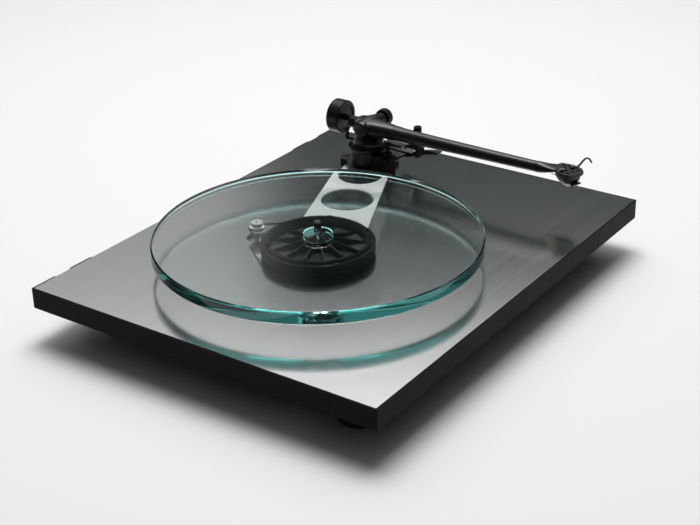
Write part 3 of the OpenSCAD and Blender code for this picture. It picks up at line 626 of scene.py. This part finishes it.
# %% [markdown]
# ## Subplatter floor
# Between its ribs the moulded subplatter has a paler, sanded floor.
# A thin ring lies on that floor and lets the tall black ribs stand through it.

# %% The sanded floor between the ribs
web_grey = grained("web_grey", grey(0.040), grey(0.055), (0.45, 0.55), 1500, 0.2,
                   rings=("z", hub), ring_scale=700)
floor_inner, floor_outer, floor_under, floor_top = 14, 42.2, 6.45, 6.62
floor_section = [(floor_inner, floor_under), (floor_outer, floor_under),
                 (floor_outer, floor_top), (floor_inner, floor_top)]
piece("subplatter_floor", [turned(floor_section, hub, ring=True)], web_grey, "rotor", [])

# %% [markdown]
# ## Counterweight and dial
# The counterweight is a heavy turned ring with a shallow recess in its front face.
# Its edges are rounded, and the rounds draw the thin light lines round it.

# %% The counterweight
weight_low, weight_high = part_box("counterweight")
weight_centre = middle("counterweight")
weight_r = (weight_high.x - weight_low.x) / 2 / mm
weight_half = (weight_high.y - weight_low.y) / 2 / mm
bore_r = 3.3
recess = -weight_half + 1.0
weight_section = [(bore_r, recess), (weight_r - 4.6, recess), (weight_r - 3.8, -weight_half),
                  (weight_r, -weight_half), (weight_r, weight_half), (bore_r, weight_half)]
piece("turned_weight", [turned(eased(weight_section, 0.9), weight_centre, "y", 96, ring=True)], weight_black,
      "weight", ["counterweight"])

# %% [markdown]
# The weight slides on a rod behind the bearings, and a short sleeve with a groove joins the rod to the casting.
# Each section starts and ends beside the axis, so its ends close as flat discs.

# %% The weight's rod and its sleeve
tilt_height = 45.5
rod_axis = arm + np.array([0, 0, tilt_height + 4]) * mm
sleeve_axis = arm + np.array([0, 0, tilt_height + 1]) * mm
rod_section = [(at_axis, 16), (3.0, 16), (3.0, 44.4), (2.4, 45), (at_axis, 45)]
sleeve_section = [(at_axis, 12.6), (6.0, 12.6), (6.0, 14.6), (5.3, 14.9), (5.3, 15.5),
                  (6.0, 15.8), (6.0, 20.6), (5.2, 21.4), (at_axis, 21.4)]
piece("weight_rod", [turned(eased(rod_section, 0.25, closed=False), rod_axis, "y", 48),
                     turned(eased(sleeve_section, 0.25, closed=False), sleeve_axis, "y", 64)], weight_black,
      "arm_tilt", ["weight_stub"], crease=50)

# %% [markdown]
# The tracking dial is a turned part whose gripping edge goes in and out twenty four times round.
# Only the widest points of its section follow that wave, so its two faces stay round.

# %% The tracking dial
dial_low, dial_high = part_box("tracking_dial")
dial_centre = middle("tracking_dial")
dial_r = (dial_high.y - dial_low.y) / 2 / mm
dial_half = (dial_high.x - dial_low.x) / 2 / mm


def gripped(section, centre, ribs, depth, columns=192):
    """A section turned about x; where it is widest, its radius is less by depth * |sin(ribs * angle / 2)|."""
    section = np.asarray(section, float)
    angle = np.linspace(0, 2 * math.pi, columns, endpoint=False)
    outer = (section[:, 0] > section[:, 0].max() * 0.93)[:, None]
    radius = section[:, 0][:, None] - outer * depth * np.abs(np.sin(ribs * angle / 2))
    along = section[:, 1][:, None] + 0 * angle
    grid = np.stack([along, radius * np.cos(angle), radius * np.sin(angle)], -1) * mm + np.asarray(centre)
    return surface(grid)


dial_section = [(at_axis, -dial_half), (dial_r - 0.4, -dial_half), (dial_r, -dial_half + 0.6),
                (dial_r, dial_half - 0.8), (dial_r - 1.2, dial_half), (dial_r - 2.4, dial_half - 0.3),
                (at_axis, dial_half - 0.3)]
dial_ribs, rib_depth = 24, 0.35
dial_skin = gripped(eased(dial_section, 0.3, closed=False), dial_centre, dial_ribs, rib_depth)
piece("gripped_dial", [dial_skin], dial_black,
      "dial", ["tracking_dial"], crease=50)

# %% [markdown]
# ## Tonearm casting
# The real arm is one casting: a cross piece with the bearings, a tapered tube, and a neck that flattens out.
# The tube is a rounded section whose width and height change along its path.
# The headshell has a frame of its own, turned to follow the neck, so that its parts can be drawn straight.

# %% A changing section along a path
def lofted(path, widths, heights, powers, columns=48):
    """Superellipses across a path: path + side * w * cos^(2/n) + up * h * sin^(2/n), with the signs kept."""
    path = np.asarray(path, float)
    along = np.gradient(path, axis=0)
    along[:, 2] = 0
    along /= np.linalg.norm(along, axis=1)[:, None]
    side = np.stack([along[:, 1], -along[:, 0], 0 * along[:, 0]], -1)
    angle = np.linspace(0, 2 * math.pi, columns, endpoint=False)
    bend = 2 / np.asarray(powers, float)[:, None]
    over = np.asarray(widths)[:, None] * np.sign(np.cos(angle)) * np.abs(np.cos(angle)) ** bend
    up = np.asarray(heights)[:, None] * np.sign(np.sin(angle)) * np.abs(np.sin(angle)) ** bend
    grid = path[:, None] + over[..., None] * side[:, None] + up[..., None] * np.array([0, 0, 1.0])
    return surface(grid)


shell_turn = math.radians(156)
shell_centre = arm + np.array([4.5, -219, 0]) * mm
shell_height = 45.0


def at_shell(points):
    """Points of the headshell's frame (+y forwards, z above the plate, in millimetres) as places in metres."""
    points = np.asarray(points, float) * mm
    c, s = math.cos(shell_turn), math.sin(shell_turn)
    x, y = -points[..., 0], points[..., 1]
    return np.stack([c * x - s * y, s * x + c * y, points[..., 2]], -1) + shell_centre


print("headshell tip at", at_shell([0, 15, shell_height]).round(4))

# %% [markdown]
# The skins of a casting run through each other, and a real casting has a soft fillet where they meet.
# Remeshing them together makes one skin, and a few smoothing passes leave such fillets.
# A Boolean union would keep the corners sharp.

# %% Fuse skins into one casting
def fused(name, skins, finish, body, nodes, voxel=0.6, passes=8):
    """Joins closed skins, remeshes them at one voxel size in millimetres, and smooths the result."""
    points, faces = join(skins)
    mesh = bpy.data.meshes.new(name + "_rough")
    mesh.from_pydata(points.tolist(), [], faces)
    rough = bpy.data.objects.new(name + "_rough", mesh)
    scene.collection.objects.link(rough)
    remesh = rough.modifiers.new("fuse", "REMESH")
    remesh.mode = "VOXEL"
    remesh.voxel_size = voxel * mm
    soften = rough.modifiers.new("soften", "SMOOTH")
    soften.factor = 0.6
    soften.iterations = passes
    bpy.context.view_layer.update()
    done = bpy.data.meshes.new_from_object(rough.evaluated_get(bpy.context.evaluated_depsgraph_get()))
    bpy.data.objects.remove(rough)
    done.name = name
    done.polygons.foreach_set("use_smooth", np.ones(len(done.polygons), bool))
    done.materials.clear()
    done.materials.append(finish)
    made = bpy.data.objects.new(name, done)
    scene.collection.objects.link(made)
    return settle(made, body, nodes)


print("skins can be fused into a casting")

# %% [markdown]
# The tube is widest at the bearings and tapers towards the neck, so its half sizes are given at a few stations.
# The cross piece is turned about the tilt axis.
# The neck follows a quadratic curve that leaves the tube straight on and ends flat in the headshell plate.

# %% The arm casting
tube_height = 44
stations = np.array([14.5, 13.5, 10, 4, -8, -20, -31, -45, -80, -140, -195])
tube_w = np.array([3, 8.5, 12.2, 13.6, 12.4, 9.6, 7.9, 7.2, 6.5, 5.9, 5.3])
tube_h = np.array([3, 6.5, 8.0, 8.5, 8.4, 7.9, 7.3, 6.9, 6.3, 5.7, 5.2])
tube_z = tube_height + np.array([1.5, 1.5, 1.5, 1.5, 1.4, 1.0, 0.5, 0.1, 0, 0, 0])
tube_n = np.array([2.6, 2.6, 2.6, 2.6, 2.5, 2.3, 2.1, 2.0, 2.0, 2.0, 2.0])
run = np.concatenate([np.linspace(14.5, 10, 8), np.linspace(9, -45, 45), np.linspace(-50, -195, 60)])


def along_arm(values):
    """A value given at the stations, read at every section of the run."""
    return np.interp(-run, -stations, values)


tube_path = arm + np.stack([0 * run, run, along_arm(tube_z)], -1) * mm
tube_skin = lofted(tube_path, along_arm(tube_w) * mm, along_arm(tube_h) * mm, along_arm(tube_n))
tilt_axis = arm + np.array([0, 0, tilt_height]) * mm
cross_section = [(5.6, -15.8), (7.4, -15.0), (8.2, -12.5), (8.8, -6), (9.2, 0),
                 (8.8, 8), (7.6, 15), (6.6, 20), (6.2, 24.4)]
cross_skin = turned(cross_section, tilt_axis, "x", 64)
t = np.linspace(0, 1, 26)[:, None]
neck_start = arm + np.array([0, -190, tube_height]) * mm
neck_end = at_shell([0, -8, shell_height])
neck_pull = arm + np.array([0, -201, tube_height + 0.2]) * mm
neck_path = (1 - t) ** 2 * neck_start + 2 * t * (1 - t) * neck_pull + t ** 2 * neck_end
ease = np.sin(t[:, 0] * math.pi / 2) ** 2
neck_skin = lofted(neck_path, (5.6 + 2.7 * ease) * mm, (5.6 - 4.2 * ease) * mm, 2 + 1.5 * ease)
fused("arm_casting", [tube_skin, cross_skin, neck_skin], arm_black,
      "arm_tilt", ["arm_tube"])

# %% [markdown]
# ## Headshell plate
# The headshell is a thin plate with rows of round holes, which make it light.
# A flat curve can hold holes and bevel every edge, so the plate is drawn as one and then made a mesh.

# %% The perforated headshell
def drawn_ring(curve, points):
    """Adds one closed outline of straight steps to a flat curve."""
    spline = curve.splines.new("POLY")
    spline.points.add(len(points) - 1)
    flat = np.hstack([points * mm, np.zeros((len(points), 1)), np.ones((len(points), 1))])
    spline.points.foreach_set("co", flat.ravel())
    spline.use_cyclic_u = True


shell_y = np.concatenate([np.linspace(-15, 10, 41), 10 + 5 * np.sin(np.linspace(0, math.pi / 2, 24)[1:])])
shell_half = np.interp(shell_y, [-15, -12, -8, -3, 2, 7, 10], [5.6, 7.4, 9.6, 11.6, 12.4, 11.6, 9.6])
front = shell_y > 10
shell_half[front] = 9.6 * np.sqrt(np.clip(1 - ((shell_y[front] - 10) / 5) ** 2, 0, 1)) ** 0.9
outline = np.vstack([np.stack([shell_half, shell_y], -1), np.stack([-shell_half, shell_y], -1)[::-1]])
round_hole = np.linspace(0, 2 * math.pi, 28, endpoint=False)
ring_shape = np.stack([np.cos(round_hole), np.sin(round_hole)], -1)
shell_curve = bpy.data.curves.new("headshell_drawing", "CURVE")
shell_curve.dimensions = "2D"
shell_curve.fill_mode = "BOTH"
shell_curve.extrude = 1.1 * mm
edge_round = 0.35 * mm
shell_curve.bevel_depth = edge_round
shell_curve.bevel_resolution = 2
shell_curve.offset = -edge_round
drawn_ring(shell_curve, outline)
hole_r, hole_pitch = 1.75, 6
hole_rows = ((-9, 2), (-3.5, 3), (2, 4), (7.5, 3))
for row_y, count in hole_rows:
    for k in range(count):
        drawn_ring(shell_curve, hole_r * ring_shape + [(k - (count - 1) / 2) * hole_pitch, row_y])
print("the headshell has", sum(count for row_y, count in hole_rows), "holes")

# %% [markdown]
# The drawing is made a mesh, and its points are then moved from the drawing to the headshell's place.
# at_shell mirrors sideways, so the drawing is mirrored first, which keeps its faces pointing outwards.

# %% From the drawing to the plate
drawing = bpy.data.objects.new("headshell_drawing", shell_curve)
scene.collection.objects.link(drawing)
bpy.context.view_layer.update()
shell_mesh = bpy.data.meshes.new_from_object(drawing.evaluated_get(bpy.context.evaluated_depsgraph_get()))
bpy.data.objects.remove(drawing)
shell_mesh.name = "perforated_headshell"
flat = np.zeros(len(shell_mesh.vertices) * 3)
shell_mesh.vertices.foreach_get("co", flat)
flat = flat.reshape(-1, 3) / mm + [0, 0, shell_height]
flat[:, 0] *= -1
shell_mesh.vertices.foreach_set("co", at_shell(flat).ravel())
shell_mesh.polygons.foreach_set("use_smooth", np.ones(len(shell_mesh.polygons), bool))
shell_mesh.set_sharp_from_angle(angle=math.radians(35))
shell_mesh.materials.clear()
shell_mesh.materials.append(arm_black)
headshell = bpy.data.objects.new("perforated_headshell", shell_mesh)
scene.collection.objects.link(headshell)
settle(headshell, "arm_tilt", [])

# %% [markdown]
# The finger lift is a bent wire that leaves the far side of the headshell and curls over.
# Its path is a few points whose corners are rounded by averaging neighbours.

# %% The finger lift
def flowing(points, count=60, passes=12):
    """Even steps along straight pieces; then each becomes the mean of itself and its neighbours, ends kept."""
    points = np.asarray(points, float)
    reach = np.concatenate([[0], np.cumsum(np.linalg.norm(np.diff(points, axis=0), axis=1))])
    steps = np.linspace(0, reach[-1], count)
    path = np.stack([np.interp(steps, reach, points[:, k]) for k in range(3)], -1)
    for _ in range(passes):
        path[1:-1] = (path[:-2] + path[1:-1] + path[2:]) / 3
    return path


lift_points = [(8, -1.5, 45.0), (12.5, -1.5, 45.0), (15.5, -1.5, 46.5), (18.5, -1.0, 49.8),
               (21, 0, 52.6), (23.5, 2, 52.2), (24.5, 4.5, 48.4)]
lift_path = at_shell(flowing(lift_points))
wire_r = np.linspace(1.15, 0.8, len(lift_path)) * mm
piece("finger_wire", [carried(lift_path, wire_r, 16)], dark_steel,
      "arm_tilt", ["finger_lift"])

# %% [markdown]
# The cartridge hangs under the plate as a deep rounded body that narrows downwards.
# Its sections are superellipses in the headshell's own frame, one for each height.

# %% The cartridge body
def stacked(heights, half_x, half_y, centre_y, power, place, steps=36, columns=56):
    """Superellipses stacked upwards: x = a cos^(2/n), y = c + b sin^(2/n), with a, b, c read at each height."""
    rises = np.linspace(heights[0], heights[-1], steps)
    angle = np.linspace(0, 2 * math.pi, columns, endpoint=False)
    turn_x = np.sign(np.cos(angle)) * np.abs(np.cos(angle)) ** (2 / power)
    turn_y = np.sign(np.sin(angle)) * np.abs(np.sin(angle)) ** (2 / power)
    x = np.interp(rises, heights, half_x)[:, None] * turn_x
    y = np.interp(rises, heights, centre_y)[:, None] + np.interp(rises, heights, half_y)[:, None] * turn_y
    return surface(place(np.stack([x, y, rises[:, None] + 0 * angle], -1)))


body_z = [31.4, 31.8, 33.5, 36.0, 39.5, 42.6, 43.2]
body_x = [3.4, 4.2, 5.8, 7.4, 8.6, 8.9, 8.5]
body_y = [4.0, 5.0, 7.6, 10.2, 11.8, 12.2, 11.8]
body_ahead = [1.5, 1.5, 1.2, 0.8, 0.4, 0.4, 0.4]
cartridge_skin = stacked(body_z, body_x, body_y, body_ahead, 3.2, at_shell)
piece("cartridge_shell", [cartridge_skin], cartridge_black,
      "arm_tilt", ["cartridge_body"], crease=50)

# %% [markdown]
# ## Bearing carrier
# Under the casting stands the carrier that swings with it.
# It is a stout rounded body that narrows upwards and disappears between the bearings.

# %% The bearing carrier
carrier_z = np.array([26.2, 26.6, 30, 34, 38, 42, 46, 48])
carrier_w = np.array([14.6, 15.2, 15.4, 14.8, 13.6, 12, 9, 6])
carrier_d = np.array([13.6, 14.2, 13.4, 11.2, 9.0, 7.4, 5.6, 4])
carrier_skin = stacked(carrier_z, carrier_w, carrier_d, 0 * carrier_z, 2.7, lambda points: points * mm + arm)
piece("bearing_carrier", [carrier_skin], arm_black, "arm_swing", [])

# %% [markdown]
# ## Arm clip
# The parked tube lies in an open cradle with a wall on its outer side and a small upright boss beside it.
# The cradle is a thick strip swept part of the way round the tube.

# %% The arm clip
def part_turned(section, centre, start, end, steps=24):
    """A closed (radius, y) section swept about the y axis between two angles, measured from +x towards +z."""
    section = np.asarray(section, float)
    angle = np.radians(np.linspace(start, end, steps))[:, None]
    radius, along = section[:, 0][None], section[:, 1][None]
    grid = np.stack([radius * np.cos(angle), along + 0 * angle, radius * np.sin(angle)], -1)
    return surface(grid * mm + np.asarray(centre))


def strip_section(half_width):
    """The eased section of a cradle strip: cradle_in to cradle_out in radius, and half_width each way in y."""
    corners = [(cradle_in, -half_width), (cradle_out, -half_width),
               (cradle_out, half_width), (cradle_in, half_width)]
    return eased(corners, 0.6)


cradle_in, cradle_out = 8.4, 10.8
clip_centre = arm + np.array([0, -51, tube_height]) * mm
boss_section = [(1.6, -6), (4.0, -6), (4.0, 6.6), (3.4, 7.4), (2.0, 7.4), (1.6, 7.0)]
boss_centre = clip_centre + np.array([11.6, 0, 0]) * mm
cradle_skin = part_turned(strip_section(4), clip_centre, -118, -20)
wall_skin = part_turned(strip_section(3.2), clip_centre, -30, 28)
boss_skin = turned(eased(boss_section, 0.3), boss_centre, "z", 48, ring=True)
piece("arm_cradle", [cradle_skin, wall_skin, boss_skin], dial_black,
      "root", ["arm_clip"], crease=50)

# %% [markdown]
# ## Bias bar
# A slim satin box runs under the tube. On the side that faces the platter, a thin dark strip is painted shade
# where the slot for the bias slider would be; no slot is cut.
# A short black block closes its end and carries the arm's cradle, and a small bright screw sits in its side.
# Both are rounded boxes: superellipses of a high power along the bar, drawn in a little at each end.

# %% The bias bar and its end block
def bar(x, z, half_w, half_h, y_from, y_to, power=9.0, ease=0.5):
    """A rounded box along y; its half sizes shrink by a small easing at the first and the last step."""
    inner = np.linspace(y_from + 2 * ease, y_to - 2 * ease, 12)
    along = np.array([y_from, y_from + ease, *inner, y_to - ease, y_to])
    shrink = np.zeros(len(along))
    shrink[[0, -1]] = ease
    path = arm + np.stack([x + 0 * along, along, z + 0 * along], -1) * mm
    return lofted(path, (half_w - shrink) * mm, (half_h - shrink) * mm, power + 0 * along, 64)


bar_x = 9
piece("bias_box", [bar(bar_x, 30.15, 7, 4.45, -50.9, -20)], bias_grey,
      "root", ["bias_housing"], crease=40)
# The dark strip is painted shade: it stands for the shaded inside of the slider's slot, which the box does not
# have.
piece("slot_shade_strip", [bar(bar_x - 7, 30.0, 0.16, 1.1, -44, -23, 4.0)], dial_black,
      "root", [], crease=40)
block_skin = bar(bar_x, 29.3, 7.5, 5.6, -56.2, -51.1)
post_section = [(at_axis, 20.7), (3.5, 20.7), (3.5, 24.6), (at_axis, 24.6)]
post_place = arm + np.array([bar_x, -52.5, 0]) * mm
post_skin = turned(eased(post_section, 0.3, closed=False), post_place, "z", 48)
piece("rest_block", [block_skin, post_skin], dial_black,
      "root", ["arm_rest"], crease=40)
screw_section = [(at_axis, -0.9), (1.4, -0.9), (1.8, -0.5), (1.8, 0.4), (at_axis, 0.4)]
screw_place = arm + np.array([1.4, -53.6, 30.2]) * mm
screw_skin = turned(eased(screw_section, 0.2, closed=False), screw_place, "x", 40)
piece("rest_screw", [screw_skin], bright_steel,
      "root", [], crease=40)
